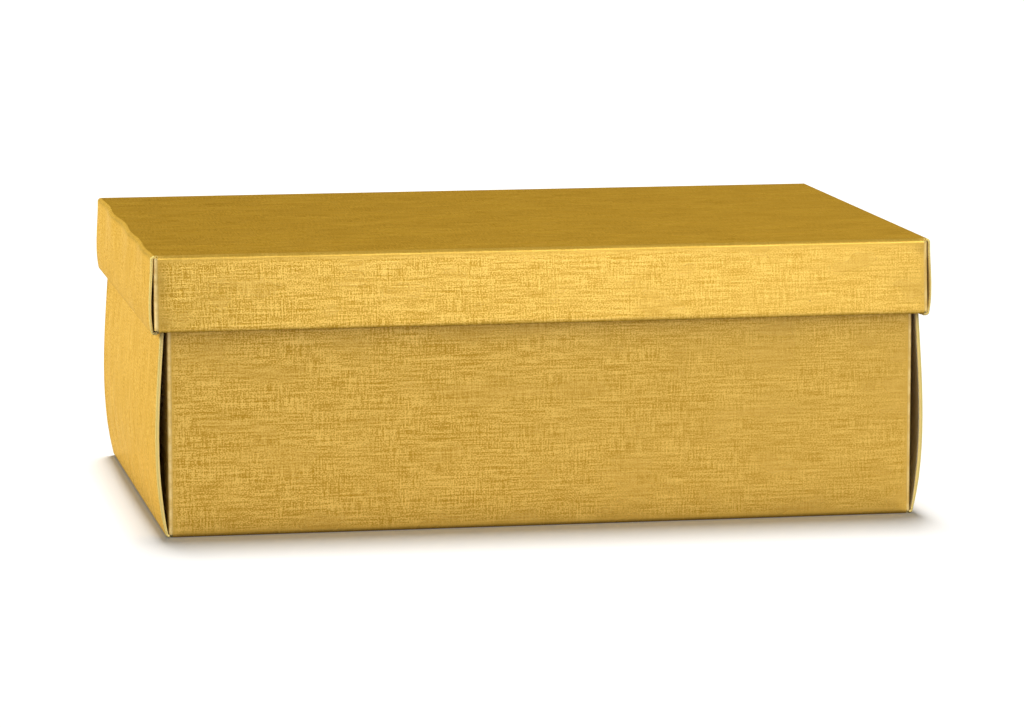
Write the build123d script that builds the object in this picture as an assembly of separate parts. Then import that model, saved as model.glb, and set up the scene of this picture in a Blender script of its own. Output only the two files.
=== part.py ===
from build123d import *
from dataclasses import dataclass
from math import cos, radians, sin, tan
import os

# A favor box of folded card: an open tray and a lift-off lid. Sizes are in millimetres, angles in degrees.
# Tray and lid are one die-cut blank each, creased into a base, two side walls, four corner flaps and
# two ends. An end stands up from the base, rolls over a narrow rim and comes back down inside as a tuck
# flap, so that its two layers hold the corner flaps between them. Nothing is glued.
# The origin is the middle of the tray's underside. +X runs along the box, -Y is its front and +Z is up.

# Card and creases
CARD = 0.8  # thickness of the card
FOLD_RADIUS = 0.4  # inside radius of a creased bend
LAYER_GAP = 0.2  # air between two layers of a rolled end, at its creases
CREASE_GAP = 0.1  # air between a rim and the round edge of its tuck flap
CREASE_DROP = 0.15  # how far that round edge lies below the face of the rim
END_SETBACK = 0.4  # side edges of an end, behind the faces of the side walls

# Tray
TRAY_LENGTH = 232.0  # across the outer faces of the corner flaps
TRAY_WIDTH = 156.0  # across the outer faces of the side walls
TRAY_END_HEIGHT = 85.6  # up to the faces of the rims, which carry the lid
TRAY_SIDE_DROP = 0.4  # top edges of the side walls, below the rims
TRAY_LEAN_ANGLE = 12.0  # how far an end leans out of upright where it leaves the bottom crease

# Lid
LID_SIDE_DEPTH = 23.0  # from the top face down to the edges of the side walls
LID_END_DROP = 1.0  # rims of the lid, below those edges
LID_LEAN_ANGLE = 10.5  # how far an end leans out of upright where it meets its rim
LID_SIDE_CLEARANCE = 1.2  # between the side walls of lid and tray
LID_END_CLEARANCE = 0.3  # between the lid's tuck flap and the tray's bowed end

# Corner flaps
TRAY_FLAP_LENGTH = 60.0  # from the corner along the end
LID_FLAP_LENGTH = 52.0
TRAY_FLAP_ROUNDING = 14.0  # free corners
LID_FLAP_ROUNDING = 7.0
FLAP_EDGE_GAP = 0.6  # to the base, and to the rim

# Tuck flaps
TUCK_SIDE_GAP = 1.2  # to the side walls, at the crease
TUCK_TAPER_ANGLE = 1.0  # how far each side edge leans in
TUCK_END_GAP = 0.3  # free edge to the base
TUCK_ROUNDING = 3.0  # corners of the free edge
TAB_WIDTH = 24.0  # lock tabs of the tray's tuck flaps
TAB_SPACING = 84.0  # between the middles of the two tabs
TAB_RECESS = 0.15  # tips of the tabs, above the underside of the tray
SLOT_GAP = 0.3  # slot around a tab

BEND_RADIUS = FOLD_RADIUS + CARD / 2
OUTER_RADIUS = FOLD_RADIUS + CARD


@dataclass
class Blank:
    """One folded blank, as it stands with its base down and its walls up."""

    length: float
    width: float
    side_height: float
    end_height: float
    base_lean: float
    rim_lean: float
    flap_length: float
    flap_rounding: float
    has_tabs: bool

    def __post_init__(self):
        self.wall_line = self.length / 2 + LAYER_GAP + CARD / 2
        self.tuck_line = self.length / 2 - CARD - LAYER_GAP - CARD / 2
        self.base_reach = self.wall_line - BEND_RADIUS * cos(radians(self.base_lean))
        self.wall_start = CARD / 2 + BEND_RADIUS * (1 - sin(radians(self.base_lean)))
        self.wall_end = self.end_height - CARD / 2 - BEND_RADIUS * (1 - sin(radians(self.rim_lean)))
        self.hinge_height = self.end_height - CARD / 2 - CREASE_DROP

    def end_curve(self):
        """Mid-line of an end: a Bezier curve that bows outwards between its two creases."""
        third = (self.wall_end - self.wall_start) / 3
        return Bezier(
            (self.wall_line, self.wall_start),
            (self.wall_line + third * tan(radians(self.base_lean)), self.wall_start + third),
            (self.wall_line + third * tan(radians(self.rim_lean)), self.wall_end - third),
            (self.wall_line, self.wall_end),
        )

    def reach_above(self, height):
        """How far out the face of an upright-rimmed end comes at this height or above it."""
        along = (height - self.wall_start) / (self.wall_end - self.wall_start)
        fullest = 1 / 3
        middle = self.end_curve().position_at(max(along, fullest), PositionMode.PARAMETER)
        return middle.X + CARD / 2


def card_strip(*path):
    """Card of even thickness laid along a mid-line."""
    return trace(path, line_width=CARD)


def make_base(blank):
    """The flat panel inside the creases, with slots at both end creases for any lock tabs."""
    panel = Box(2 * blank.base_reach, blank.width - 2 * OUTER_RADIUS, CARD)
    if blank.has_tabs:
        slot_start = blank.tuck_line - CARD / 2 - SLOT_GAP
        slot = Box(blank.base_reach - slot_start, TAB_WIDTH + 2 * SLOT_GAP, CARD)
        slot_middle = (slot_start + blank.base_reach) / 2
        for place in GridLocations(2 * slot_middle, TAB_SPACING, 2, 2):
            panel -= place * slot
    return Pos(0, 0, CARD / 2) * panel


def make_front_wall(blank):
    """A side wall, from the start of its bottom bend to its cut edge."""
    bend = JernArc((-blank.width / 2 + OUTER_RADIUS, CARD / 2), (-1, 0), BEND_RADIUS, -90)
    upright = Line(bend @ 1, (-blank.width / 2 + CARD / 2, blank.side_height))
    return extrude(Plane.YZ * card_strip(bend, upright), amount=blank.length / 2 - OUTER_RADIUS, both=True)


def make_corner_flap(blank):
    """The flap that turns the front right corner and lies between the two layers of the end."""
    bend = JernArc((blank.length / 2 - OUTER_RADIUS, -blank.width / 2 + CARD / 2), (1, 0), BEND_RADIUS, 90)
    straight = Line(bend @ 1, (blank.length / 2 - CARD / 2, -blank.width / 2 + blank.flap_length))
    low_edge = CARD + FLAP_EDGE_GAP
    high_edge = min(blank.end_height - CARD - FLAP_EDGE_GAP, blank.side_height)
    flap = extrude(Pos(0, 0, low_edge) * card_strip(bend, straight), amount=high_edge - low_edge)
    free_corners = flap.edges().filter_by(Axis.X).group_by(Axis.Y)[-1]
    return fillet(free_corners, radius=blank.flap_rounding)


def make_end_wall(blank):
    """The outer layer of the right end, from the start of its bottom bend to its rim crease."""
    bend = JernArc((blank.base_reach, CARD / 2), (1, 0), BEND_RADIUS, 90 - blank.base_lean)
    profile = Plane.XZ * card_strip(bend, blank.end_curve())
    return extrude(profile, amount=blank.width / 2 - END_SETBACK, both=True)


def make_rim(blank):
    """The roll-over strip of the right end, up to the crease where its tuck flap turns."""
    lean = radians(blank.rim_lean)
    crease = (blank.wall_line, blank.wall_end)
    bend = JernArc(crease, (-sin(lean), cos(lean)), BEND_RADIUS, 90 - blank.rim_lean)
    inner_edge = blank.tuck_line + CARD / 2 + CREASE_GAP
    flat = Line(bend @ 1, (inner_edge, blank.end_height - CARD / 2))
    return extrude(Plane.XZ * card_strip(bend, flat), amount=blank.width / 2 - END_SETBACK, both=True)


def make_tuck_flap(blank):
    """The inner layer of the right end: a tapered plate hanging from a round edge, with any lock tabs."""
    low_edge = CARD + TUCK_END_GAP
    crease_half = blank.width / 2 - CARD - TUCK_SIDE_GAP
    free_half = crease_half - (blank.hinge_height - low_edge) * tan(radians(TUCK_TAPER_ANGLE))
    corners = [
        (-crease_half, blank.hinge_height),
        (-free_half, low_edge),
        (free_half, low_edge),
        (crease_half, blank.hinge_height),
    ]
    outline = make_face(Polyline(*corners, close=True))
    outline = fillet(outline.vertices().group_by(Axis.Y)[0], radius=TUCK_ROUNDING)
    if blank.has_tabs:
        tab = Rectangle(TAB_WIDTH, low_edge - TAB_RECESS, align=(Align.CENTER, Align.MAX))
        for side in (-1, 1):
            outline += Pos(side * TAB_SPACING / 2, low_edge) * tab
    plate = extrude(Plane.YZ.offset(blank.tuck_line) * outline, amount=CARD / 2, both=True)
    round_edge = Cylinder(CARD / 2, 2 * crease_half, rotation=(90, 0, 0))
    return plate + Pos(blank.tuck_line, 0, blank.hinge_height) * round_edge


def make_panels(blank, base_name):
    """All panels of a blank by name, each left or back one mirrored from its right or front twin."""
    front_wall = make_front_wall(blank)
    panels = {base_name: make_base(blank), "front_wall": front_wall}
    panels["back_wall"] = mirror(front_wall, about=Plane.XZ)
    end_panels = {
        "end_wall": make_end_wall(blank),
        "rim": make_rim(blank),
        "tuck_flap": make_tuck_flap(blank),
    }
    front_flap = make_corner_flap(blank)
    end_panels["front_corner_flap"] = front_flap
    end_panels["back_corner_flap"] = mirror(front_flap, about=Plane.XZ)
    for name, panel in end_panels.items():
        panels[f"right_{name}"] = panel
        panels[f"left_{name}"] = mirror(panel, about=Plane.YZ)
    return panels


tray = Blank(
    length=TRAY_LENGTH,
    width=TRAY_WIDTH,
    side_height=TRAY_END_HEIGHT - TRAY_SIDE_DROP,
    end_height=TRAY_END_HEIGHT,
    base_lean=TRAY_LEAN_ANGLE,
    rim_lean=0.0,
    flap_length=TRAY_FLAP_LENGTH,
    flap_rounding=TRAY_FLAP_ROUNDING,
    has_tabs=True,
)

# The lid fits over the tray's ends where its rims hang, and over the tray's side walls.
lid_face_height = TRAY_END_HEIGHT + CARD
lid_end_height = LID_SIDE_DEPTH + LID_END_DROP
lid_inner_face = tray.reach_above(lid_face_height - lid_end_height) + LID_END_CLEARANCE
lid = Blank(
    length=2 * (lid_inner_face + CARD + LAYER_GAP + CARD),
    width=TRAY_WIDTH + 2 * (LID_SIDE_CLEARANCE + CARD),
    side_height=LID_SIDE_DEPTH,
    end_height=lid_end_height,
    base_lean=0.0,
    rim_lean=LID_LEAN_ANGLE,
    flap_length=LID_FLAP_LENGTH,
    flap_rounding=LID_FLAP_ROUNDING,
    has_tabs=False,
)

nodes = {f"tray_{name}": panel for name, panel in make_panels(tray, "bottom").items()}
for name, panel in make_panels(lid, "top").items():
    nodes[f"lid_{name}"] = Pos(0, 0, lid_face_height) * mirror(panel, about=Plane.XY)

os.makedirs("parts", exist_ok=True)
for name, solid in nodes.items():
    export_step(solid, f"parts/{name}.step")
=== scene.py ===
"""A favor box of gold, linen-embossed card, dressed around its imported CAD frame.

Every panel of the two folded blanks, the tray and the lid, is one piece: a mid-surface worked out on a grid,
given the thickness of the card, with the gold side, the off-white reverse and the cut edges as its finishes.
All lengths are in metres and all places are in the frame of the CAD model.
"""

from dataclasses import dataclass

import bpy
import numpy as np
from mathutils import Matrix, Vector


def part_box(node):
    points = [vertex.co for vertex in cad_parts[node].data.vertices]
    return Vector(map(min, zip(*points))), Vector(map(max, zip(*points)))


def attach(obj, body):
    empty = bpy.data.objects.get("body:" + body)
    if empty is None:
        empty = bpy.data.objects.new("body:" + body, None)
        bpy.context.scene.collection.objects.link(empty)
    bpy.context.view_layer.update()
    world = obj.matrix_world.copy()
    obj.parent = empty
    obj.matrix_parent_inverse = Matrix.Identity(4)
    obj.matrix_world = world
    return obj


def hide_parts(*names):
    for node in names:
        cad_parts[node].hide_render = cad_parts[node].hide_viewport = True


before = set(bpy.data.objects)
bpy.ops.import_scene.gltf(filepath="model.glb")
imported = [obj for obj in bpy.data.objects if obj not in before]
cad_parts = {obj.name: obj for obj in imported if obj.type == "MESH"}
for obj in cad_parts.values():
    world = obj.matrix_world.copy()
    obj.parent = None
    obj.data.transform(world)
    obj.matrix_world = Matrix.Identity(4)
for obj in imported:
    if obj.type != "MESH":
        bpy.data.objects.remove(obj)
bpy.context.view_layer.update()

bl_info = {
    "name": "Favor box",
    "version": (1, 0, 0),
    "blender": (4, 5, 0),
    "location": "3D View > Sidebar > Favor box",
    "description": "Dresses the CAD frame of a folded favor box with gold embossed card",
    "category": "Object",
}

MM = 0.001
QUARTER = np.pi / 2


def edge_of(node, axis, end):
    """A CAD node's lowest (end 0) or highest (end 1) coordinate on one axis."""
    return float(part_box(node)[end][axis])


CARD = edge_of("tray_bottom", 2, 1)
HALF_CARD = CARD / 2

# Grid lines next to a border, where the card rounds off, rolls or bends.
BORDER_LINES = np.array([0, 0.05, 0.13, 0.26, 0.42, 0.7, 1.1, 1.8, 2.8, 4.0, 5.5]) * MM
GRID_STEP = 5 * MM
BEND_STEPS = 10
CLEAR = 10 * MM  # a distance at which neither creases nor cut edges show any more
SHARP_ANGLE = np.radians(40)

THINNEST = 0.02 * MM  # least half thickness, where a cut edge rounds off
SWELL_REACH = 1.1 * MM  # from a cut edge, over which its swell dies away
CURL_REACH = MM  # from the free edge of a lid's side wall, over which it curls
ROLL_HEIGHT = 5 * MM  # from which up a corner is rolled in full
CROWN_TOP = 0.72  # share of a tray end's height at which its crown ends
BEAD_FADE = 0.12  # share of an end's height over which its swollen edges fade in
WANDER_ON_TOP, WANDER_ON_END = 20 * MM, 15 * MM  # reach of the lid's wandering fold over both its panels
TUCK_CORE = 60 * MM  # half the width over which the grid of a tuck flap keeps its columns upright
TUCK_SHEET_GAP = 4 * MM  # what the bends of an end add to its height on the flat sheet
LID_SHEET = 0.7  # place of the lid's blank on the flat sheet, along from the tray's

# Ripples as factors across and along a panel and a phase. Fold waves as a weight, a length over 2 pi and a phase.
RIPPLES = ((71, 23, 0.7), (31, -97, 2.1), (113, 61, 4.0))
RIPPLE_HEIGHT = 0.012 * MM
FOLD_WAVES = ((1.0, 7.5 * MM, 0.5), (0.5, 13.2 * MM, 2.0))

SENSOR_WIDTH = 36
CAMERA_CLIP = (0.05, 50)
FLOOR_REACH, FLOOR_LINES = 9, 7


def length_property(name, description, default):
    return bpy.props.FloatProperty(
        name=name, description=description, default=default, subtype="DISTANCE", unit="LENGTH", precision=5
    )


def angle_property(name, description, degrees):
    return bpy.props.FloatProperty(
        name=name, description=description, default=np.radians(degrees), subtype="ANGLE", unit="ROTATION"
    )


def colour_property(name, description, default):
    return bpy.props.FloatVectorProperty(
        name=name, description=description, default=default, subtype="COLOR", size=3, min=0, max=1
    )


def number_property(name, description, default):
    return bpy.props.FloatProperty(name=name, description=description, default=default, precision=3)


class FavorBoxForm(bpy.types.PropertyGroup):
    """How the card bends, bows and rounds off."""

    tray_lean: angle_property("Tray end lean", "How far a tray end leans out at its bottom crease", 12.0)
    lid_lean: angle_property("Lid end lean", "How far a lid end leans out at its rim", 10.5)
    lid_flare: length_property("Lid flare", "How far the lid's side walls stand out at their free edges", 2.4 * MM)
    flare_kept: number_property("Flare at corners", "Share of that flare at the corner folds", 0.8)
    edge_curl: length_property("Edge curl", "How far the free edges of the lid's side walls curl back in", 0.2 * MM)
    tray_bow: length_property("Tray bow", "How far the tray's side walls bow out half way up", 0.2 * MM)
    tray_splay: length_property("Tray splay", "How far the tray's side walls lean out at their top edges", 0.3 * MM)
    end_crown: length_property("End crown", "Extra bow of a tray end between its front and back edges", 0.7 * MM)
    corner_roll: length_property("Corner roll", "How far a side wall rolls back before a corner fold", 0.25 * MM)
    roll_reach: length_property("Roll reach", "Width of that roll", 5 * MM)
    fold_wave: length_property("Fold wave", "How far the lid's left fold wanders from a straight line", 0.4 * MM)
    fold_reach: length_property("Fold reach", "How much nearer to the base a fold starts than its flap", 0.7 * MM)
    edge_rounding: length_property("Edge rounding", "Rounding of a clean cut edge", 0.13 * MM)
    bead_rounding: length_property("Bead rounding", "Rounding of the swollen edges of the ends", 0.42 * MM)
    bead_swell: length_property("Bead swell", "How much thicker each side of those edges is", 0.22 * MM)
    tray_flap_rounding: length_property("Tray flap corners", "Free corners of the tray's corner flaps", 14 * MM)
    lid_flap_rounding: length_property("Lid flap corners", "Free corners of the lid's corner flaps", 7 * MM)
    tuck_rounding: length_property("Tuck flap corners", "Free corners of the tuck flaps", 3 * MM)
    tuck_taper: angle_property("Tuck flap taper", "How far each side edge of a tuck flap leans in", 1.0)
    tab_width: length_property("Tab width", "Width of a lock tab", 24 * MM)
    tab_spacing: length_property("Tab spacing", "Distance between the middles of two lock tabs", 84 * MM)
    tuck_gap: length_property("Tuck gap", "Free edge of a tuck flap above the bottom", 0.3 * MM)
    slot_gap: length_property("Slot gap", "Slot around a lock tab", 0.3 * MM)


class FavorBoxFinish(bpy.types.PropertyGroup):
    """Colours and surface of the card."""

    # Painted light and shade of the emboss: the first gold is the colour lit on the raised threads, the second the
    # colour shaded between them.
    gold: colour_property("Gold", "Printed gold side, on its raised threads", (0.72, 0.45, 0.108))
    gold_shaded_between_threads: colour_property("Gold between", "Printed gold side, between its threads", (0.40, 0.215, 0.022))
    gold_edge_on: colour_property("Gold edge-on", "Tint of the gold seen at a low angle", (0.72, 0.47, 0.0))
    # The pressed gold is partly print dulled by the rules and partly a painted shadow colour, used along score lines
    # and cut edges.
    pressed_gold_and_shadow: colour_property("Pressed gold", "Gold dulled along score lines and cuts", (0.24, 0.145, 0.012))
    # The worn gold is partly rubbed wear and partly a painted highlight along the corner folds.
    worn_and_highlit_gold: colour_property("Worn gold", "Gold rubbed pale along the folds", (1.0, 0.80, 0.42))
    reverse: colour_property("Reverse", "Unprinted side", (0.70, 0.67, 0.61))
    cut: colour_property("Cut edge", "Board seen at a cut edge", (0.70, 0.50, 0.18))
    cut_print: colour_property("Printed rim of a cut", "Print drawn over a cut edge", (0.55, 0.41, 0.13))
    metal: number_property("Metal share", "How much of the print shines as metal does", 0.5)
    gloss: number_property("Roughness", "Roughness of the gold", 0.30)
    emboss: length_property("Emboss depth", "Height of the linen emboss", 0.02 * MM)
    # The thread spread sets how far the emboss height swings between the painted lit and shaded golds.
    spread: number_property("Thread spread", "Emboss height from the darkest to the middle gold", 0.40)


class FavorBoxStudio(bpy.types.PropertyGroup):
    """Camera, floor and lamps."""

    lens: number_property("Focal length", "Focal length in millimetres on a 36 mm wide sensor", 170.3)
    distance: length_property("Camera distance", "From the camera to the middle of the tray's underside", 1.5654)
    azimuth: angle_property("Camera azimuth", "Camera's place round the box, 0 at its front", -10.51)
    elevation: angle_property("Camera elevation", "Camera's height above the horizon", 8.41)
    shift_right: length_property("Camera right", "Camera's place to the right of its line of sight", 4.13 * MM)
    shift_up: length_property("Camera up", "Camera's place above its line of sight", 38.46 * MM)
    floor: colour_property("Floor", "Colour of the floor where it is seen", (0.87, 0.87, 0.87))
    floor_bounce: number_property("Floor bounce", "Share of its colour with which the floor lights the box", 0.4)
    floor_lift: number_property("Floor lift", "Brightness added to the floor where it is seen", 0.1)
    sky: colour_property("Surroundings", "Colour of the light from all round", (0.13, 0.126, 0.103))
    warm_tint: colour_property("Warm tint", "Colour of the key and back softboxes", (1.0, 0.98, 0.36))
    cool_tint: colour_property("Cool tint", "Colour of the front and left softboxes", (0.87, 0.935, 1.0))
    key_box: number_property("Key softbox", "Power of the softbox high at the front right, in watts", 15.0)
    front_box: number_property("Front softbox", "Power of the softbox low at the front right, in watts", 36.0)
    back_box: number_property("Back softbox", "Power of the softbox low at the back, in watts", 3.2)
    left_box: number_property("Left softbox", "Power of the softbox at the left, in watts", 67.0)
    floor_box: number_property("Floor softbox", "Power of the softbox that lights the floor, in watts", 440.0)


@dataclass
class Blank:
    """Measures of one folded blank, standing with its base down, read from its CAD nodes.

    The lid is such a blank turned upside down, so its heights count from its face downwards.
    """

    name: str
    base: str
    face: float
    up: float
    base_lean: float
    rim_lean: float
    flap_rounding: float
    bead_swell: float
    has_tabs: bool
    sheet: float

    def __post_init__(self):
        self.half_length = edge_of(self.node("right_front_corner_flap"), 0, 1)
        self.half_width = edge_of(self.node("back_wall"), 1, 1)
        self.base_reach = edge_of(self.base, 0, 1)
        self.base_half_width = edge_of(self.base, 1, 1)
        self.end_half_width = edge_of(self.node("right_end_wall"), 1, 1)
        self.side_height = self.height("front_wall", 1)
        self.end_height = self.height("right_rim", 1)
        self.bend_radius = self.half_width - self.base_half_width - HALF_CARD
        self.side_reach = self.half_length - HALF_CARD - self.bend_radius
        self.wall_line = edge_of(self.node("right_rim"), 0, 1) - HALF_CARD * np.cos(self.rim_lean)
        self.tuck_line = edge_of(self.node("right_tuck_flap"), 0, 1) - HALF_CARD
        self.rim_inner = edge_of(self.node("right_rim"), 0, 0)
        self.wall_start = HALF_CARD + self.bend_radius * (1 - np.sin(self.base_lean))
        self.wall_end = self.end_height - HALF_CARD - self.bend_radius * (1 - np.sin(self.rim_lean))
        self.half_bend = self.bend_radius * QUARTER / 2

    def node(self, panel):
        return f"{self.name}_{panel}"

    def height(self, panel, end):
        """Lowest (end 0) or highest (end 1) height of a panel above the blank's own face."""
        heights = [self.up * (edge_of(self.node(panel), 2, side) - self.face) for side in (0, 1)]
        return sorted(heights)[end]

    def placed(self, points, gold, right=1, back=-1):
        """A right or front panel's places and gold vectors, as those of its left or back twin, the lid upside down."""
        turn = np.array([right, -back, self.up])
        return {"points": points * turn + np.array([0, 0, self.face]), "gold": gold * turn}


def both_blanks(form):
    """The tray and the lid."""
    tray = Blank(
        name="tray",
        base="tray_bottom",
        face=0.0,
        up=1,
        base_lean=form.tray_lean,
        rim_lean=0.0,
        flap_rounding=form.tray_flap_rounding,
        bead_swell=form.bead_swell,
        has_tabs=True,
        sheet=0.0,
    )
    lid = Blank(
        name="lid",
        base="lid_top",
        face=edge_of("lid_top", 2, 1),
        up=-1,
        base_lean=0.0,
        rim_lean=form.lid_lean,
        flap_rounding=form.lid_flap_rounding,
        bead_swell=0.0,
        has_tabs=False,
        sheet=LID_SHEET,
    )
    return tray, lid


def side_words(right, back=None):
    """First words of the name of a panel on one side."""
    words = "right" if right > 0 else "left"
    return words if back is None else f"{words}_{'back' if back > 0 else 'front'}"


def smooth(value, low, high):
    """0 below low, 1 above high, and 3t^2 - 2t^3 between them."""
    t = np.clip((value - low) / (high - low), 0, 1)
    return t * t * (3 - 2 * t)


def grid_lines(start, end, *marks):
    """Places from start to end: border lines at both ends, even steps between them, and the marks."""
    length = end - start
    border = BORDER_LINES[BORDER_LINES < 0.45 * length]
    steps = int(np.ceil((length - 2 * border[-1]) / GRID_STEP)) + 1
    middle = np.linspace(border[-1], length - border[-1], max(steps, 2))
    return np.unique(np.round(np.concatenate([start + border, start + middle, end - border, marks]), 8))


def stacked(*parts):
    """Vectors from their parts, which may be grids, rows, columns or numbers."""
    return np.stack(np.broadcast_arrays(*parts), -1)


def bend(start, heading, radius, turn):
    """Arc to the left: start + radius * (sin a - sin h, cos h - cos a) for headings a from h to h + turn."""
    headings = heading + np.linspace(0, turn, BEND_STEPS + 1)
    right = np.sin(headings) - np.sin(heading)
    up = np.cos(heading) - np.cos(headings)
    return stacked(start[0] + radius * right, start[1] + radius * up), headings


def straight(start, heading, distances):
    """Points at distances from start along a heading."""
    along = stacked(np.cos(heading) * distances, np.sin(heading) * distances)
    return np.asarray(start) + along, np.full(len(distances), heading)


def bowed_end(blank):
    """Mid-line of an end: a cubic curve between its two creases, with third points set out by the two leans.

    The height rises evenly with t, and the bow is third * (3(1-t)^2 t tan(base lean) + 3(1-t) t^2 tan(rim lean)).
    """
    rise = blank.wall_end - blank.wall_start
    t = (grid_lines(blank.wall_start, blank.wall_end) - blank.wall_start) / rise
    low, high = rise / 3 * np.tan(blank.base_lean), rise / 3 * np.tan(blank.rim_lean)
    bow = 3 * (1 - t) ** 2 * t * low + 3 * (1 - t) * t**2 * high
    slope = 3 * low * ((1 - t) ** 2 - 2 * (1 - t) * t) + 3 * high * (2 * (1 - t) * t - t**2)
    points = stacked(blank.wall_line + bow, blank.wall_start + rise * t)
    return points, np.arctan2(rise, slope)


def join(*pieces):
    """One mid-line from pieces that follow each other: points, headings and distances along it."""
    points = np.concatenate([pieces[0][0]] + [piece[0][1:] for piece in pieces[1:]])
    headings = np.concatenate([pieces[0][1]] + [piece[1][1:] for piece in pieces[1:]])
    steps = np.linalg.norm(np.diff(points, axis=0), axis=1)
    return points, headings, np.concatenate([[0], np.cumsum(steps)])


def outward(headings):
    """Unit vectors to the right of a mid-line, as columns: sin heading outwards and -cos heading upwards."""
    return np.sin(headings)[:, None], -np.cos(headings)[:, None]


def cut_profile(edge, rounding, swell=0.0):
    """Half thickness of the card at a distance from its cut edge.

    Half the card, plus a swell that dies away as exp(-(edge / reach)^2), less a quarter round at the edge.
    """
    half = HALF_CARD + swell * np.exp(-((edge / SWELL_REACH) ** 2))
    short = np.clip(1 - edge / rounding, 0, 1)
    return np.maximum(half - rounding * (1 - np.sqrt(1 - short**2)), THINNEST)


def ripple(across, along):
    """Slow unevenness of the card: a sum of crossing sine waves."""
    return RIPPLE_HEIGHT * sum(np.sin(across * a + along * b + phase) for a, b, phase in RIPPLES)


def cell_corners(index):
    """Vertex numbers of a grid at the four corners of each cell, in order round the cell."""
    return index[:-1, :-1], index[1:, :-1], index[1:, 1:], index[:-1, 1:]


@dataclass
class Panel:
    """Mid-surface of one card panel on a grid of rows and columns, before it gets its thickness.

    Distances end at CLEAR, and so does one that a panel leaves out.
    """

    points: np.ndarray  # places, rows x columns x 3
    gold: np.ndarray  # unit vectors towards the gold side
    half: np.ndarray  # half the thickness
    sheet: np.ndarray  # place on the flat blank, rows x columns x 2
    crease: np.ndarray = CLEAR  # distance from the nearest crease
    corner: np.ndarray = CLEAR  # distance from the nearest upright corner fold
    edge: np.ndarray = CLEAR  # distance from the nearest cut edge
    cut_zone: float = 0.0  # cells this near to a cut edge show the board
    kept: np.ndarray = None  # cells that are card

    def __post_init__(self):
        for label in ("crease", "corner", "edge"):
            setattr(self, label, np.minimum(np.broadcast_to(getattr(self, label), self.half.shape), CLEAR))

    def surfaces(self):
        """Vertices and faces: both sides offset along the gold vectors, and a strip along every border."""
        rows, columns = self.half.shape
        count = rows * columns
        kept = np.ones((rows - 1, columns - 1), bool) if self.kept is None else self.kept
        offset = self.gold * self.half[..., None]
        vertices = np.concatenate([(self.points + offset).reshape(-1, 3), (self.points - offset).reshape(-1, 3)])
        index = np.arange(count).reshape(rows, columns)
        a, b, c, d = cell_corners(index)
        gold_side = np.stack([a, b, c, d], -1)[kept]
        reverse_side = np.stack([a, d, c, b], -1)[kept] + count
        fringe = np.pad(kept, 1)
        strips = []
        for inside, outside, start, end in (
            (fringe[1:, 1:-1], fringe[:-1, 1:-1], index[:, :-1], index[:, 1:]),
            (fringe[:-1, 1:-1], fringe[1:, 1:-1], index[:, 1:], index[:, :-1]),
            (fringe[1:-1, 1:], fringe[1:-1, :-1], index[1:, :], index[:-1, :]),
            (fringe[1:-1, :-1], fringe[1:-1, 1:], index[:-1, :], index[1:, :]),
        ):
            border = inside & ~outside
            start, end = start[border], end[border]
            strips.append(np.stack([start, end, end + count, start + count], -1))
        near = np.maximum.reduce([self.edge.reshape(-1)[corner] for corner in (a, b, c, d)])
        shows_board = (near <= self.cut_zone)[kept]
        strip_faces = np.concatenate(strips)
        faces = np.concatenate([gold_side, reverse_side, strip_faces])
        finish = np.concatenate([
            np.where(shows_board, 2, 0),
            np.where(shows_board, 2, 1),
            np.full(len(strip_faces), 2),
        ])
        corner = vertices[gold_side[0]]
        facing = np.cross(corner[1] - corner[0], corner[3] - corner[0])
        if facing @ self.gold.reshape(-1, 3)[gold_side[0, 0]] < 0:
            faces = faces[:, ::-1]
        return vertices, faces, finish


def make_piece(name, body, panel, finishes):
    """Blender object of a panel, riding on a CAD body in place of the CAD node of the same name."""
    vertices, faces, finish = panel.surfaces()
    used, faces = np.unique(faces, return_inverse=True)
    faces = faces.reshape(-1, 4)
    mesh = bpy.data.meshes.new(f"{name}_card")
    mesh.from_pydata(vertices[used].tolist(), [], faces.tolist())
    both_sides = {label: np.tile(getattr(panel, label).reshape(-1), 2) for label in ("crease", "corner", "edge")}
    both_sides["printed"] = np.repeat([1.0, 0.0], panel.edge.size)
    for label, values in both_sides.items():
        mesh.attributes.new(label, "FLOAT", "POINT").data.foreach_set("value", values[used].astype(np.float32))
    sheet = np.tile(panel.sheet.reshape(-1, 2), (2, 1))[used]
    layer = mesh.uv_layers.new(name="sheet")
    layer.uv.foreach_set("vector", sheet[faces.reshape(-1)].astype(np.float32).reshape(-1))
    mesh.polygons.foreach_set("material_index", finish.astype(np.int32))
    mesh.polygons.foreach_set("use_smooth", np.ones(len(faces), bool))
    mesh.set_sharp_from_angle(angle=SHARP_ANGLE)
    for material in finishes:
        mesh.materials.append(material)
    mesh.validate()
    mesh.update()
    piece = bpy.data.objects.new(f"{name}_card", mesh)
    bpy.context.scene.collection.objects.link(piece)
    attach(piece, body)
    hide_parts(name)
    return piece


def spread(rows, columns):
    """Row values and column values as two full grids."""
    return np.meshgrid(rows, columns, indexing="ij")


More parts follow.
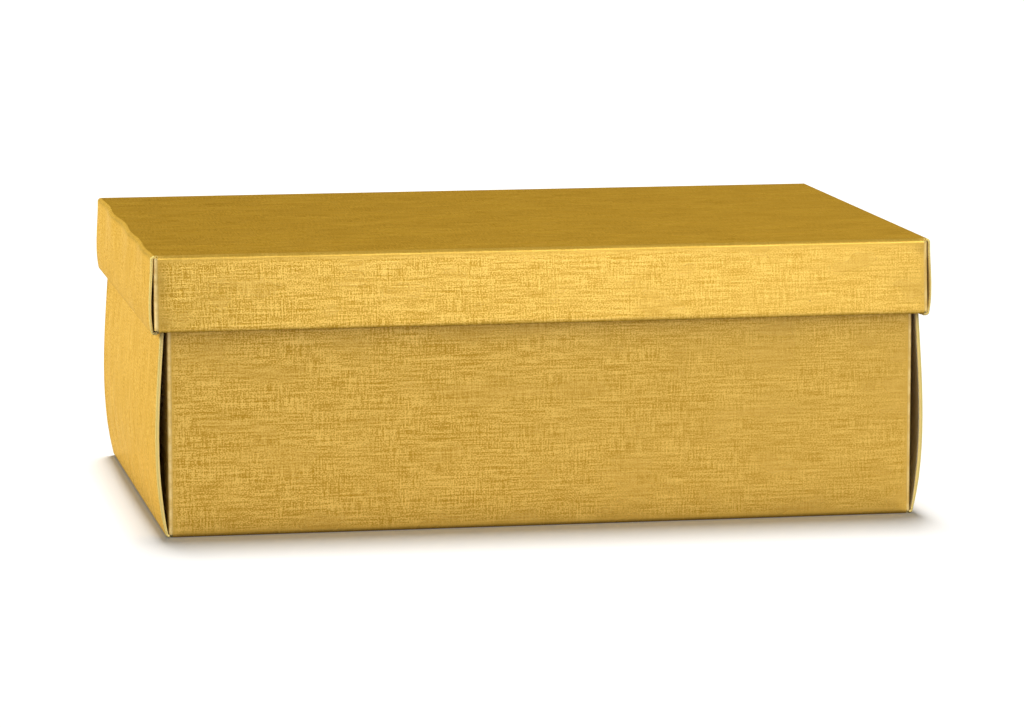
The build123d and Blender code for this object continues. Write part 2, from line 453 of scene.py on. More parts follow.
def base_panel(blank, form):
    """The flat base: (x, y, half a card), with the lid's wandering left fold, and notches for any lock tabs."""
    reach, half_width = blank.base_reach, blank.base_half_width
    x_marks, y_marks, slots = [], [], []
    if blank.has_tabs:
        slot_start = blank.tuck_line - HALF_CARD - form.slot_gap
        x_marks = [-slot_start, slot_start]
        for side in (-1, 1):
            middle = side * form.tab_spacing / 2
            half = form.tab_width / 2 + form.slot_gap
            slots.append((middle - half, middle + half))
            y_marks += [middle - half, middle + half]
    x_lines, y_lines = grid_lines(-reach, reach, *x_marks), grid_lines(-half_width, half_width, *y_marks)
    x, y = spread(x_lines, y_lines)
    wander = 0.0
    if not blank.has_tabs:
        wander = fold_wander(blank, form, y) * smooth(-x, reach - WANDER_ON_TOP, reach)
    points, gold = stacked(x + wander, y, HALF_CARD), stacked(np.zeros_like(x), 0, -1)
    kept = np.ones((len(x_lines) - 1, len(y_lines) - 1), bool)
    x_middle, y_middle = spread((x_lines[1:] + x_lines[:-1]) / 2, (y_lines[1:] + y_lines[:-1]) / 2)
    for low, high in slots:
        kept &= ~((np.abs(x_middle) > slot_start) & (y_middle > low) & (y_middle < high))
    crease = np.minimum(reach - np.abs(x), half_width - np.abs(y)) + blank.half_bend
    return Panel(
        **blank.placed(points, gold),
        half=np.full(x.shape, HALF_CARD),
        sheet=stacked(x + blank.sheet, y),
        crease=crease,
        kept=kept,
    )


def fold_wander(blank, form, y):
    """Wander of the lid's left fold along x: a sum of sine waves times 1 - (y / half width)^8."""
    held = 1 - (y / blank.half_width) ** 8
    waves = sum(weight * np.sin(y / length + phase) for weight, length, phase in FOLD_WAVES)
    return form.fold_wave * held * waves


def roll_back(blank, form, along, height):
    """How far a side wall has rolled back: roll * (1 - e / reach)^2 at e before the fold, none at the base."""
    before = np.clip(1 - (blank.side_reach - np.abs(along)) / form.roll_reach, 0, 1)
    return form.corner_roll * before**2 * roll_fade(height)


def roll_fade(height):
    """No roll at the base, the whole roll from a little above it."""
    return smooth(height, CARD, ROLL_HEIGHT)


def side_level(blank, height):
    """Height up a side wall, from 0 in its bend to 1 at its free edge."""
    return np.clip((height - CARD) / (blank.side_height - CARD), 0, 1)


def side_panel(blank, form, back):
    """A side wall: the mid-line of a bend and an upright, carried along the box.

    A tray's wall bows and leans out, times 1 - (x / half length)^4. A lid's wall flares out evenly down to its free
    edge, which curls back in by curl * (1 - edge / reach)^2. Both roll back before their corner folds.
    """
    reach = blank.side_reach
    start = (blank.base_half_width, HALF_CARD)
    turn = bend(start, 0, blank.bend_radius, QUARTER)
    upright = straight(turn[0][-1], QUARTER, grid_lines(0, blank.side_height - turn[0][-1, 1]))
    line, headings, distance = join(turn, upright)
    along, x = spread(distance, grid_lines(-reach, reach))
    out, height = line[:, :1], line[:, 1:]
    level = side_level(blank, height)
    edge = distance[-1] - along
    arch = 1 - (x / reach) ** 4
    if blank.has_tabs:
        shift = (form.tray_bow * np.sin(np.pi * level) + form.tray_splay * level) * arch
    else:
        shift = form.lid_flare * level * (form.flare_kept + (1 - form.flare_kept) * arch)
        shift = shift - form.edge_curl * np.clip(1 - edge / CURL_REACH, 0, 1) ** 2
    shift = shift + ripple(x, along) * smooth(level, 0, 0.2) * arch - roll_back(blank, form, x, height)
    normal_out, normal_up = outward(headings)
    points = stacked(x, -(out + normal_out * shift), height + normal_up * shift)
    gold = stacked(np.zeros_like(x), -normal_out, normal_up)
    corner = reach - np.abs(x) + blank.half_bend
    return Panel(
        **blank.placed(points, gold, back=back),
        half=cut_profile(edge, form.edge_rounding),
        sheet=stacked(x + blank.sheet, back * (blank.base_half_width + along)),
        crease=np.minimum(np.abs(along - blank.half_bend), corner),
        corner=corner,
        edge=edge,
    )


def corner_panel(blank, form, right, back):
    """A corner flap: an arc and a straight run in plan, carried upwards between its low and high edges.

    The arc takes over from the rolled side wall, so it starts at the roll's slope, and its radius is such that
    the straight run lies where the CAD has it. It sways with the flare of a lid's wall. The free corners are rounded.
    """
    name = f"{side_words(right, back)}_corner_flap"
    low, high = blank.height(name, 0), blank.height(name, 1)
    tip = min(abs(edge_of(blank.node(name), 1, end)) for end in (0, 1))
    shares = (grid_lines(low, high) - low) / (high - low)
    run_shares = grid_lines(0, blank.half_width - tip) / (blank.half_width - tip)
    turn_shares = np.linspace(0, 1, BEND_STEPS + 1)
    turn_share, share = spread(np.concatenate([turn_shares, np.ones(len(run_shares) - 1)]), shares)
    run_share, _ = spread(np.concatenate([np.zeros_like(turn_shares), run_shares[1:]]), shares)
    fade = roll_fade(low + share * (high - low))
    slope = np.arctan(2 * form.corner_roll / form.roll_reach) * fade
    radius = blank.bend_radius / (1 - np.sin(slope))
    heading = slope + (QUARTER - slope) * turn_share
    x = blank.side_reach + radius * (np.sin(heading) - np.sin(slope))
    depth = blank.half_width - HALF_CARD - form.corner_roll * fade - radius * (np.cos(slope) - np.cos(heading))
    depth = depth + (tip - depth) * run_share
    to_tip = depth - tip
    short = np.clip(blank.flap_rounding - to_tip, 0, blank.flap_rounding)
    inset = blank.flap_rounding - np.sqrt(blank.flap_rounding**2 - short**2)
    along = radius * (heading - slope) + run_share * (blank.half_width - tip)
    bottom = low + inset - form.fold_reach * (1 - smooth(along, 2 * blank.half_bend, 4 * blank.half_bend))
    top = high - inset
    height = bottom + share * (top - bottom)
    sway = 0.0
    if not blank.has_tabs:
        sway = form.lid_flare * form.flare_kept * side_level(blank, height)
    points = stacked(x, -depth - sway, height)
    gold = stacked(np.sin(heading), -np.cos(heading), 0)
    edge = np.minimum(np.minimum(height - bottom, top - height), to_tip)
    fold = np.abs(along - blank.half_bend)
    wall_height = blank.base_half_width + 2 * blank.half_bend + height - CARD
    return Panel(
        **blank.placed(points, gold, right, back),
        half=cut_profile(edge, form.edge_rounding),
        sheet=stacked(right * (blank.side_reach + along) + blank.sheet, back * wall_height),
        crease=fold,
        corner=fold,
        edge=edge,
    )


def end_panel(blank, form, right):
    """The outer layer of an end: a bend and a bowed mid-line, carried across the box.

    A tray end crowns a little more between its side edges, and those edges are swollen, round beads.
    """
    reach = blank.end_half_width
    turn = bend((blank.base_reach, HALF_CARD), 0, blank.bend_radius, QUARTER - blank.base_lean)
    line, headings, distance = join(turn, bowed_end(blank))
    along, y = spread(distance, grid_lines(-reach, reach))
    out, height = line[:, :1], line[:, 1:]
    level = np.clip((height - blank.wall_start) / (blank.wall_end - blank.wall_start), 0, 1)
    crown = 0.0
    if blank.has_tabs:
        crown = form.end_crown * np.sin(np.pi * np.clip(level / CROWN_TOP, 0, 1)) ** 2
    shift = (crown + ripple(y, along) * np.sin(np.pi * level)) * (1 - (y / reach) ** 2)
    normal_out, normal_up = outward(headings)
    wander = 0.0
    if not blank.has_tabs and right < 0:
        wander = fold_wander(blank, form, y) * (1 - smooth(height, 0, WANDER_ON_END))
    points = stacked(out + normal_out * shift - wander, y, height + normal_up * shift)
    gold = stacked(normal_out, np.zeros_like(y), normal_up)
    edge = reach - np.abs(y)
    swell = blank.bead_swell * smooth(np.minimum(level, 1 - level), 0, BEAD_FADE)
    fold = np.minimum(np.abs(along - blank.half_bend), distance[-1] - along + blank.half_bend)
    return Panel(
        **blank.placed(points, gold, right),
        half=cut_profile(edge, form.bead_rounding, swell),
        sheet=stacked(right * (blank.base_reach + along) + blank.sheet, y),
        crease=fold,
        edge=edge,
        cut_zone=form.bead_rounding,
    )


def rim_panel(blank, form, right):
    """The strip where an end rolls over: an arc and a short flat run, carried across the box."""
    reach = blank.end_half_width
    crease, lean = (blank.wall_line, blank.wall_end), blank.rim_lean
    turn = bend(crease, QUARTER + lean, blank.bend_radius, QUARTER - lean)
    flat = straight(turn[0][-1], np.pi, np.linspace(0, turn[0][-1, 0] - blank.rim_inner, 6))
    line, headings, distance = join(turn, flat)
    along, y = spread(distance, grid_lines(-reach, reach))
    normal_out, normal_up = outward(headings)
    points = stacked(line[:, :1], y, line[:, 1:])
    gold = stacked(normal_out, np.zeros_like(y), normal_up)
    edge = reach - np.abs(y)
    start = blank.base_reach + 2 * blank.half_bend + blank.wall_end - blank.wall_start
    return Panel(
        **blank.placed(points, gold, right),
        half=cut_profile(edge, form.bead_rounding),
        sheet=stacked(right * (start + along) + blank.sheet, y),
        crease=np.minimum(np.abs(along - blank.half_bend), distance[-1] - along),
        edge=edge,
        cut_zone=form.bead_rounding,
    )


def tuck_panel(blank, form, right):
    """The inner layer of an end: an upright plate with a round top edge, tapered sides and any lock tabs.

    At a height z its half width is that at the crease, less the taper, less the rounding of its free corners.
    """
    name = f"{side_words(right)}_tuck_flap"
    top, tip = blank.height(name, 1), blank.height(name, 0)
    free = CARD + form.tuck_gap
    crease_half = edge_of(blank.node(name), 1, 1)
    heights = grid_lines(free, top)[::-1]
    marks, tabs = [], []
    if blank.has_tabs:
        heights = np.append(heights, [(free + tip) / 2, tip])
        for side in (-1, 1):
            middle = side * form.tab_spacing / 2
            tabs.append((middle - form.tab_width / 2, middle + form.tab_width / 2))
            marks += tabs[-1]
    z, column = spread(heights, grid_lines(-crease_half, crease_half, -TUCK_CORE, TUCK_CORE, *marks))
    short = np.clip(form.tuck_rounding - (z - free), 0, form.tuck_rounding)
    inset = form.tuck_rounding - np.sqrt(form.tuck_rounding**2 - short**2)
    half_width = crease_half - np.clip(top - HALF_CARD - z, 0, None) * np.tan(form.tuck_taper) - inset
    beyond = np.clip(np.abs(column) - TUCK_CORE, 0, None) * (half_width - TUCK_CORE) / (crease_half - TUCK_CORE)
    y = np.sign(column) * (np.minimum(np.abs(column), TUCK_CORE) + beyond)
    kept = np.ones((z.shape[0] - 1, z.shape[1] - 1), bool)
    middle_z, middle_y = (z[1:, 1:] + z[:-1, 1:]) / 2, (y[1:, 1:] + y[1:, :-1]) / 2
    in_tab = np.zeros_like(kept)
    for low, high in tabs:
        in_tab |= (middle_y > low) & (middle_y < high)
    kept &= (middle_z > free) | in_tab
    bulge = ripple(y, z + right) * np.sin(np.pi * np.clip((z - free) / (top - free), 0, 1)) * 2
    points, gold = stacked(blank.tuck_line - bulge, y, z), stacked(np.full_like(z, -1), 0, 0)
    side_edge = half_width - np.abs(y)
    round_top = np.sqrt(np.clip(1 - np.clip(1 - (top - z) / HALF_CARD, 0, 1) ** 2, 0, 1))
    start = blank.base_reach + blank.end_height + TUCK_SHEET_GAP
    return Panel(
        **blank.placed(points, gold, right),
        half=np.maximum(cut_profile(side_edge, form.edge_rounding) * round_top, THINNEST),
        sheet=stacked(right * (start + top - z) + blank.sheet, y),
        crease=top - z,
        edge=side_edge,
        kept=kept,
    )


class NodeDesk:
    """Short ways to add and link the nodes of one tree."""

    def __init__(self, tree):
        self.tree = tree

    def add(self, kind, **settings):
        node = self.tree.nodes.new(kind)
        for key, value in settings.items():
            setattr(node, key, value)
        return node

    def put(self, socket, value):
        if isinstance(value, bpy.types.NodeSocket):
            self.tree.links.new(value, socket)
        else:
            socket.default_value = value

    def fill(self, node, **values):
        """Links or sets a node's inputs by name, with _ for a space."""
        for label, value in values.items():
            self.put(node.inputs[label.replace("_", " ")], value)
        return node

    def math(self, operation, *values):
        node = self.add("ShaderNodeMath", operation=operation)
        for socket, value in zip(node.inputs, values):
            self.put(socket, value)
        return node.outputs[0]

    def times(self, first, second):
        return self.math("MULTIPLY", first, second)

    def plus(self, first, second):
        return self.math("ADD", first, second)

    def ramp(self, value, low, high, out_low=0.0, out_high=1.0):
        """A value from low to high, mapped smoothly on out_low to out_high."""
        node = self.add("ShaderNodeMapRange", interpolation_type="SMOOTHSTEP")
        for socket, number in zip(node.inputs, (value, low, high, out_low, out_high)):
            self.put(socket, number)
        return node.outputs[0]

    def noise(self, place, width, height, detail=2.0, shift=0.0):
        """Noise on the flat sheet with cells of a width and height, from 0 to 1."""
        scaled = self.add("ShaderNodeMapping")
        self.fill(scaled, Vector=place, Location=(shift, shift * 1.7, 0), Scale=(1 / width, 1 / height, 1))
        node = self.add("ShaderNodeTexNoise", noise_dimensions="2D")
        self.fill(node, Vector=scaled.outputs[0], Scale=1.0, Detail=detail)
        return node.outputs["Fac"]

    def relief(self, place, width, height, shift=0.0):
        """Such noise less its mean."""
        return self.math("SUBTRACT", self.noise(place, width, height, 1.0, shift), 0.5)

    def blend(self, share, first, second):
        """Mix of two colours."""
        node = self.add("ShaderNodeMix", data_type="RGBA")
        self.put(node.inputs["Factor"], share)
        for socket, colour in zip((node.inputs[6], node.inputs[7]), (first, second)):
            self.put(socket, colour if isinstance(colour, bpy.types.NodeSocket) else (*colour, 1.0))
        return node.outputs[2]


def node_group(name, inputs, outputs):
    """A new shader node group of the flat sheet: its desk, its inputs and a function that sets an output.

    Its inputs are the place on the sheet and numbers with their defaults. Its outputs are numbers.
    """
    tree = bpy.data.node_groups.new(name, "ShaderNodeTree")
    tree.interface.new_socket("Sheet", in_out="INPUT", socket_type="NodeSocketVector")
    for label, default in inputs.items():
        socket = tree.interface.new_socket(label, in_out="INPUT", socket_type="NodeSocketFloat")
        socket.default_value = default
    for label in outputs:
        tree.interface.new_socket(label, in_out="OUTPUT", socket_type="NodeSocketFloat")
    desk = NodeDesk(tree)
    entry, leave = desk.add("NodeGroupInput"), desk.add("NodeGroupOutput")
    return desk, entry.outputs, lambda label, value: desk.put(leave.inputs[label], value)


def linen_group():
    """Linen emboss on the flat sheet: fine grain, long threads along the sheet and patches of cross threads.

    Height is 0.5 plus the weighted sum of the noises less their means, calmed in slow blotches, near creases
    and towards the right end, which fades the threads' painted light and shade there along with their bump.
    """
    desk, given, give = node_group(
        "Linen emboss",
        {"Crease": CLEAR, "Along": 0.0, "Grain": 1.2, "Threads": 0.75, "Cross threads": 0.8},
        ("Height", "Blotch"),
    )
    sheet = given["Sheet"]
    grain = desk.relief(sheet, 0.48 * MM, 0.42 * MM)
    short = desk.relief(sheet, 9.0 * MM, 0.52 * MM, 3.1)
    long = desk.relief(sheet, 34 * MM, 0.62 * MM, 9.4)
    cross = desk.relief(sheet, 0.5 * MM, 5.5 * MM, 5.2)
    patch = desk.ramp(desk.noise(sheet, 15 * MM, 8 * MM, 1.0, 12.6), 0.30, 0.60)
    blotch = desk.noise(sheet, 22 * MM, 10 * MM, 2.0, 17.3)
    threads = desk.times(desk.plus(short, desk.times(long, 0.6)), given["Threads"])
    crossing = desk.times(desk.times(cross, patch), given["Cross threads"])
    total = desk.plus(desk.times(grain, given["Grain"]), desk.plus(threads, crossing))
    calm = desk.ramp(blotch, 0.25, 0.62, 0.6, 1.0)
    pressed = desk.ramp(given["Crease"], 0.6 * MM, 2.6 * MM, 0.25, 1.0)
    # Calmer weave towards the right end: it fades the painted light and shade of the threads there, and their bump.
    rolled = desk.ramp(given["Along"], -100 * MM, 110 * MM, 1.2, 0.62)
    height = desk.times(desk.times(total, rolled), desk.times(calm, pressed))
    give("Height", desk.plus(height, 0.5))
    give("Blotch", blotch)
    return desk.tree


def fold_mark_group():
    """Marks along folds and cut edges, broken up by noise: on the gold, rubbed wear with a painted highlight along the
    corner folds; on the reverse, a darkening along creases and cut edges.
    """
    desk, given, give = node_group(
        "Fold and edge marks", {"Fold": CLEAR, "Edge": CLEAR, "Fold wear": 0.6, "Edge wear": 0.5}, ("Wear",)
    )
    patchy = desk.ramp(desk.noise(given["Sheet"], 3.0 * MM, 3.0 * MM, 3.0, 2.2), 0.30, 0.65, 0.45, 1.0)
    fold, edge = (
        desk.times(desk.ramp(given[line], 0.1 * MM, 0.9 * MM, 1.0, 0.0), given[f"{line} wear"])
        for line in ("Fold", "Edge")
    )
    give("Wear", desk.times(desk.math("MAXIMUM", fold, edge), patchy))
    return desk.tree


def pressed_print_and_shadow_group():
    """Dark print along score lines away from the corner folds, and along cuts: partly print dulled where a rule
    pressed the sheet, partly painted shade, which draws the shadow line under the lid's lower edge.
    """
    distances = {"Crease": CLEAR, "Fold": CLEAR, "Edge": CLEAR}
    desk, given, give = node_group("Pressed print", distances, ("Pressed",))
    ragged = desk.ramp(desk.noise(given["Sheet"], 0.9 * MM, 0.9 * MM, 2.0, 6.1), 0.30, 0.60, 0.55, 1.0)
    # Painted shade along the score lines, together with print dulled by the rule.
    score = desk.ramp(given["Crease"], 0.3 * MM, 1.4 * MM, 0.3, 0.0)
    score = desk.times(score, desk.ramp(given["Fold"], MM, 3 * MM))
    # Painted shadow along the cut edges, together with print dulled by the cut; it draws the dark line under the lid's
    # lower edge.
    cut = desk.ramp(given["Edge"], 0.1 * MM, 0.9 * MM, 0.9, 0.0)
    give("Pressed", desk.times(desk.math("MAXIMUM", score, cut), ragged))
    return desk.tree


def fibre_group():
    """Paper fibres: fine, slightly stretched noise, and slow clouding."""
    desk, given, give = node_group("Card fibre", {}, ("Fibre", "Cloud"))
    give("Fibre", desk.noise(given["Sheet"], 0.5 * MM, 0.22 * MM, 3.0, 7.7))
    give("Cloud", desk.noise(given["Sheet"], 9 * MM, 6 * MM, 2.0, 1.3))
    return desk.tree


def shader_desk(name):
    """A new material, its desk and its shader."""
    material = bpy.data.materials.new(name)
    material.use_nodes = True
    return material, NodeDesk(material.node_tree), material.node_tree.nodes["Principled BSDF"]


def card_desk(name):
    """Such a material for card, with the places of the panels on the flat sheet."""
    material, desk, shader = shader_desk(name)
    return material, desk, shader, desk.add("ShaderNodeUVMap", uv_map="sheet").outputs[0]


def along_box(desk):
    """Place along the box, from its middle to the right."""
    place = desk.add("ShaderNodeTexCoord").outputs["Object"]
    return desk.fill(desk.add("ShaderNodeSeparateXYZ"), Vector=place).outputs["X"]


def stored(desk, label):
    """A value stored on the panels: the distance from a crease, corner fold or cut edge, or the printed side."""
    return desk.add("ShaderNodeAttribute", attribute_name=label).outputs["Fac"]


def placed_group(desk, tree, **values):
    """A node group placed in a material, with its inputs linked or set."""
    return desk.fill(desk.add("ShaderNodeGroup", node_tree=tree), **values).outputs


def raised(desk, shader, height, distance):
    """Bump of a height on the shader's normal."""
    bump = desk.fill(desk.add("ShaderNodeBump"), Strength=1.0, Distance=distance, Height=height)
    desk.fill(shader, Normal=bump.outputs[0])


def card_finishes(finish):
    """The three finishes of the card, in the order of the panels' faces: gold side, reverse and cut edge."""
    names = ("Gold linen card", "White reverse", "Cut board edge")
    ready = [bpy.data.materials.get(name) for name in names]
    if all(ready):
        return ready
    linen, wear, pressed, fibre = linen_group(), fold_mark_group(), pressed_print_and_shadow_group(), fibre_group()

    gold, desk, shader, sheet = card_desk(names[0])
    crease, fold, edge = stored(desk, "crease"), stored(desk, "corner"), stored(desk, "edge")
    emboss = placed_group(desk, linen, Sheet=sheet, Crease=crease, Along=along_box(desk))
    # Paler gold along the corner folds: rubbed wear together with a painted highlight.
    rubbed = placed_group(desk, wear, Sheet=sheet, Fold=fold, Fold_wear=0.55, Edge_wear=0.0)["Wear"]
    dulled = placed_group(desk, pressed, Sheet=sheet, Crease=crease, Fold=fold, Edge=edge)["Pressed"]
    # Painted light and shade of the emboss: raised threads take the lit gold, the hollows between them the shaded
    # gold.
    thread_lit_share = desk.ramp(emboss["Height"], 0.5 - finish.spread, 0.5 + finish.spread)
    colour = desk.blend(thread_lit_share, tuple(finish.gold_shaded_between_threads), tuple(finish.gold))
    # Painted shade along score lines and cuts, mixed with the print dulled there.
    colour = desk.blend(dulled, colour, tuple(finish.pressed_gold_and_shadow))
    dull = desk.ramp(emboss["Blotch"], 0.3, 0.7, finish.gloss - 0.03, finish.gloss + 0.04)
    # The base colour takes the pale gold along the corner folds, a painted highlight mixed with wear.
    desk.fill(
        shader,
        Base_Color=desk.blend(rubbed, colour, tuple(finish.worn_and_highlit_gold)),
        Roughness=desk.plus(dull, desk.times(rubbed, 0.12)),
        Metallic=finish.metal,
        Specular_IOR_Level=0.0,
        Specular_Tint=(*finish.gold_edge_on, 1.0),
    )
    raised(desk, shader, emboss["Height"], finish.emboss)

    reverse, desk, shader, sheet = card_desk(names[1])
    crease, edge = stored(desk, "crease"), stored(desk, "edge")
    emboss = placed_group(desk, linen, Sheet=sheet, Crease=crease, Grain=0.35)
    paper = placed_group(desk, fibre, Sheet=sheet)
    base = np.array(finish.reverse)
    clouded = desk.blend(paper["Cloud"], base * 0.97, np.clip(base * 1.02, 0, 1))
    # The reverse is darker along its creases and cut edges.
    rubbed = placed_group(desk, wear, Sheet=sheet, Fold=crease, Edge=edge, Fold_wear=0.35)["Wear"]
    darker_along_folds = desk.blend(rubbed, clouded, base * [0.90, 0.88, 0.84])
    dull = desk.ramp(paper["Fibre"], 0.3, 0.7, 0.62, 0.78)
    desk.fill(shader, Base_Color=darker_along_folds, Roughness=dull, Specular_IOR_Level=0.35)
    lumps = desk.plus(emboss["Height"], desk.times(paper["Fibre"], 0.4))
    raised(desk, shader, lumps, finish.emboss * 0.6)

    cut, desk, shader, sheet = card_desk(names[2])
    paper = placed_group(desk, fibre, Sheet=sheet)
    base = np.array(finish.cut)
    board = desk.blend(paper["Fibre"], base * 0.86, np.clip(base * 1.1, 0, 1))
    torn = desk.plus(stored(desk, "printed"), desk.times(paper["Fibre"], 0.5))
    printed = desk.blend(desk.ramp(torn, 0.6, 0.9), board, tuple(finish.cut_print))
    dull = desk.ramp(paper["Fibre"], 0.3, 0.7, 0.6, 0.8)
    desk.fill(shader, Base_Color=printed, Roughness=dull, Specular_IOR_Level=0.3)
    raised(desk, shader, paper["Fibre"], 0.04 * MM)
    return gold, reverse, cut


def at_hand(context):
    """The form, the two blanks that it gives and the finishes of the card."""
    form = context.scene.favor_box_form
    return form, both_blanks(form), card_finishes(context.scene.favor_box_finish)


def make_end_pieces(context, label, make_panel):
    """One kind of panel at all four ends. The tray's tuck flaps ride on bodies of their own."""
    form, blanks, finishes = at_hand(context)
    for blank in blanks:
        for right in (1, -1):
            side = side_words(right)
            body = f"{side}_tuck" if blank.has_tabs and label == "tuck_flap" else blank.name
            make_piece(blank.node(f"{side}_{label}"), body, make_panel(blank, form, right), finishes)


class FAVORBOX_OT_bases(bpy.types.Operator):
    """Makes the tray's bottom and the lid's top"""

    bl_idname = "favorbox.bases"
    bl_label = "Bottom and top"

    def execute(self, context):
        form, blanks, finishes = at_hand(context)
        for blank in blanks:
            make_piece(blank.base, blank.name, base_panel(blank, form), finishes)
        return {"FINISHED"}


class FAVORBOX_OT_side_walls(bpy.types.Operator):
    """Makes the front and back walls of tray and lid"""

    bl_idname = "favorbox.side_walls"
    bl_label = "Side walls"

    def execute(self, context):
        form, blanks, finishes = at_hand(context)
        for blank in blanks:
            for back, name in ((-1, "front_wall"), (1, "back_wall")):
                make_piece(blank.node(name), blank.name, side_panel(blank, form, back), finishes)
        return {"FINISHED"}


class FAVORBOX_OT_corner_flaps(bpy.types.Operator):
    """Makes the eight corner flaps"""

    bl_idname = "favorbox.corner_flaps"
    bl_label = "Corner flaps"

    def execute(self, context):
        form, blanks, finishes = at_hand(context)
        for blank in blanks:
            for right in (1, -1):
                for back in (1, -1):
                    name = blank.node(f"{side_words(right, back)}_corner_flap")
                    make_piece(name, blank.name, corner_panel(blank, form, right, back), finishes)
        return {"FINISHED"}


class FAVORBOX_OT_end_walls(bpy.types.Operator):
    """Makes the outer layers of the ends"""

    bl_idname = "favorbox.end_walls"
    bl_label = "End walls"

    def execute(self, context):
        make_end_pieces(context, "end_wall", end_panel)
        return {"FINISHED"}


class FAVORBOX_OT_rims(bpy.types.Operator):
    """Makes the strips where the ends roll over"""

    bl_idname = "favorbox.rims"
    bl_label = "Rims"

    def execute(self, context):
        make_end_pieces(context, "rim", rim_panel)
        return {"FINISHED"}


class FAVORBOX_OT_tuck_flaps(bpy.types.Operator):
    """Makes the inner layers of the ends; the tray's turn on their own bodies"""

    bl_idname = "favorbox.tuck_flaps"
    bl_label = "Tuck flaps"

    def execute(self, context):
        make_end_pieces(context, "tuck_flap", tuck_panel)
        return {"FINISHED"}


def seen_ray(desk):
    """1 for rays from the camera, and for those that metal and glass send on."""
    path = desk.add("ShaderNodeLightPath")
    seen = desk.math("MAXIMUM", path.outputs["Is Camera Ray"], path.outputs["Is Glossy Ray"])
    return desk.math("MAXIMUM", seen, path.outputs["Is Transmission Ray"])


def make_floor(studio):
    """A flat, matt sheet under the box, with a little brightness of its own where it is seen.

    It has its whole colour to the camera and in mirrored light, and lights the box with part of that colour.
    """
    lines = np.linspace(-FLOOR_REACH, FLOOR_REACH, FLOOR_LINES)
    x, y = spread(lines, lines)
    vertices = stacked(x, y, 0).reshape(-1, 3)
    faces = stacked(*cell_corners(np.arange(x.size).reshape(x.shape))).reshape(-1, 4)
    mesh = bpy.data.meshes.new("floor")
    mesh.from_pydata(vertices.tolist(), [], faces.tolist())
    material, desk, shader = shader_desk("Studio floor")
    seen = seen_ray(desk)
    dim = tuple(channel * studio.floor_bounce for channel in studio.floor)
    desk.fill(
        shader,
        Base_Color=desk.blend(seen, dim, tuple(studio.floor)),
        Roughness=1.0,
        Specular_IOR_Level=0.0,
        Emission_Color=(1, 1, 1, 1),
        Emission_Strength=desk.times(seen, studio.floor_lift),
    )
    mesh.materials.append(material)
    floor = bpy.data.objects.new("floor", mesh)
    bpy.context.scene.collection.objects.link(floor)
    return floor


def gathered(name, objects):
    """A new collection of some objects, for the lamps that light them or whose light they block."""
    group = bpy.data.collections.new(name)
    for item in objects:
        group.objects.link(item)
    return group


def make_softbox(name, place, aim, size, power, colour, mirrored, lit, casters=None):
    """An area lamp at a place, turned to a point, that the gold mirrors or not.

    It lights one collection. Only the casters throw shadows in its light, or everything where there are none given.
    """
    lamp = bpy.data.lights.new(name, "AREA")
    lamp.shape, lamp.size, lamp.size_y = "RECTANGLE", size[0], size[1]
    lamp.energy, lamp.color = power, colour
    stand = bpy.data.objects.new(name, lamp)
    stand.location = place
    stand.rotation_euler = (Vector(aim) - Vector(place)).to_track_quat("-Z", "Y").to_euler()
    stand.visible_camera, stand.visible_glossy = False, mirrored
    bpy.context.scene.collection.objects.link(stand)
    stand.light_linking.receiver_collection = lit
    stand.light_linking.blocker_collection = casters


def make_camera(studio):
    """The photo's camera: its distance back from the tray's underside, shifted right and up in its own plane."""
    azimuth, elevation = studio.azimuth, studio.elevation
    back = Vector((
        np.sin(azimuth) * np.cos(elevation),
        -np.cos(azimuth) * np.cos(elevation),
        np.sin(elevation),
    ))
    right = Vector((np.cos(azimuth), np.sin(azimuth), 0))
    up = back.cross(right)
    camera = bpy.data.objects.new("camera", bpy.data.cameras.new("camera"))
    camera.data.lens = studio.lens
    camera.data.sensor_width = SENSOR_WIDTH
    camera.data.clip_start, camera.data.clip_end = CAMERA_CLIP
    camera.matrix_world = Matrix((right, up, back)).transposed().to_4x4()
    camera.location = back * studio.distance + right * studio.shift_right + up * studio.shift_up
    bpy.context.scene.collection.objects.link(camera)
    return camera


def make_surroundings(studio):
    """A world of one even colour."""
    world = bpy.data.worlds.new("Studio surroundings")
    world.use_nodes = True
    world.node_tree.nodes["Background"].inputs["Color"].default_value = (*studio.sky, 1.0)
    return world


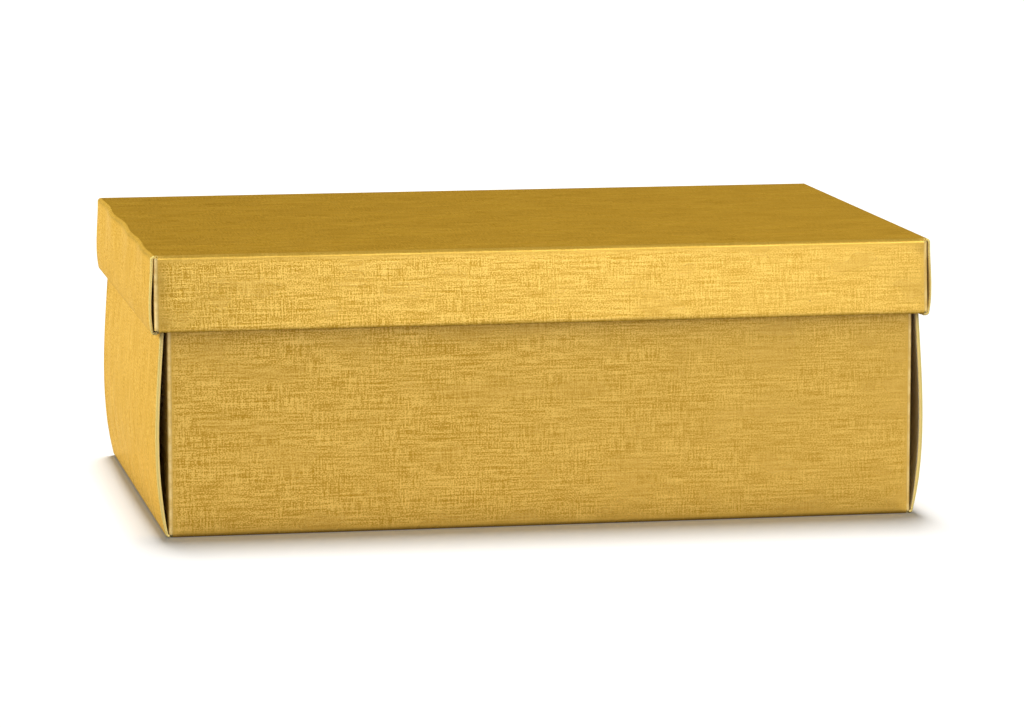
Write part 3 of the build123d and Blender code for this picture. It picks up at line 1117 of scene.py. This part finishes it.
class FAVORBOX_OT_stage(bpy.types.Operator):
    """Makes the camera, the floor, the surroundings and the lamps"""

    bl_idname = "favorbox.stage"
    bl_label = "Stage"

    def execute(self, context):
        studio, scene = context.scene.favor_box_studio, context.scene
        scene.view_settings.view_transform = "Standard"
        scene.camera, scene.world = make_camera(studio), make_surroundings(studio)
        pieces = [piece for piece in scene.objects if piece.type == "MESH"]
        box_pieces = gathered("Lit box", pieces)
        below_top = [piece for piece in pieces if not piece.name.startswith("lid_top")]
        flagged = gathered("Lit below the top", below_top)
        tray_pieces = gathered("Standing tray", [piece for piece in pieces if piece.name.startswith("tray")])
        lit_floor = gathered("Lit floor", [make_floor(studio)])
        warm, cool, plain = tuple(studio.warm_tint), tuple(studio.cool_tint), (1.0, 1.0, 1.0)
        middle = (0, 0, 0.05)
        above, foot = (0.15, 1.62, 6), (0.15, 1.62, 0)
        floor_lamp = (above, foot, (1.4, 2.6), studio.floor_box, plain, False, lit_floor, tray_pieces)
        lamps = (
            ("key softbox", (0.5, -0.75, 1.4), middle, (0.9, 0.9), studio.key_box, warm, False, box_pieces),
            ("front softbox", (0.85, -1.6, 0.84), middle, (1.8, 1.2), studio.front_box, cool, True, box_pieces),
            ("back softbox", (0.28, 1.5, 0.42), middle, (1.6, 0.8), studio.back_box, warm, True, box_pieces),
            ("left softbox", (-1.4, 0.15, 0.85), middle, (1.8, 0.85), studio.left_box, cool, False, flagged),
            ("floor softbox", *floor_lamp),
        )
        for lamp in lamps:
            make_softbox(*lamp)
        return {"FINISHED"}


STEPS = (
    FAVORBOX_OT_bases,
    FAVORBOX_OT_side_walls,
    FAVORBOX_OT_corner_flaps,
    FAVORBOX_OT_end_walls,
    FAVORBOX_OT_rims,
    FAVORBOX_OT_tuck_flaps,
    FAVORBOX_OT_stage,
)


class FAVORBOX_PT_panel(bpy.types.Panel):
    """Lists the steps and values of the favor box"""

    bl_idname = "FAVORBOX_PT_panel"
    bl_label = "Favor box"
    bl_space_type = "VIEW_3D"
    bl_region_type = "UI"
    bl_category = "Favor box"

    def draw(self, context):
        scene = context.scene
        for step in STEPS:
            self.layout.operator(step.bl_idname)
        for group in (scene.favor_box_form, scene.favor_box_finish, scene.favor_box_studio):
            box = self.layout.box()
            for key in group.__annotations__:
                box.prop(group, key)


GROUPS = {
    "favor_box_form": FavorBoxForm,
    "favor_box_finish": FavorBoxFinish,
    "favor_box_studio": FavorBoxStudio,
}


def register():
    for kind in (*GROUPS.values(), *STEPS, FAVORBOX_PT_panel):
        bpy.utils.register_class(kind)
    for name, kind in GROUPS.items():
        setattr(bpy.types.Scene, name, bpy.props.PointerProperty(type=kind))


def unregister():
    for name in GROUPS:
        delattr(bpy.types.Scene, name)
    for kind in (FAVORBOX_PT_panel, *reversed(STEPS), *GROUPS.values()):
        bpy.utils.unregister_class(kind)


def main():
    register()
    bpy.ops.favorbox.bases()
    bpy.ops.favorbox.side_walls()
    bpy.ops.favorbox.corner_flaps()
    bpy.ops.favorbox.end_walls()
    bpy.ops.favorbox.rims()
    bpy.ops.favorbox.tuck_flaps()
    bpy.ops.favorbox.stage()


if __name__ == "__main__":
    main()
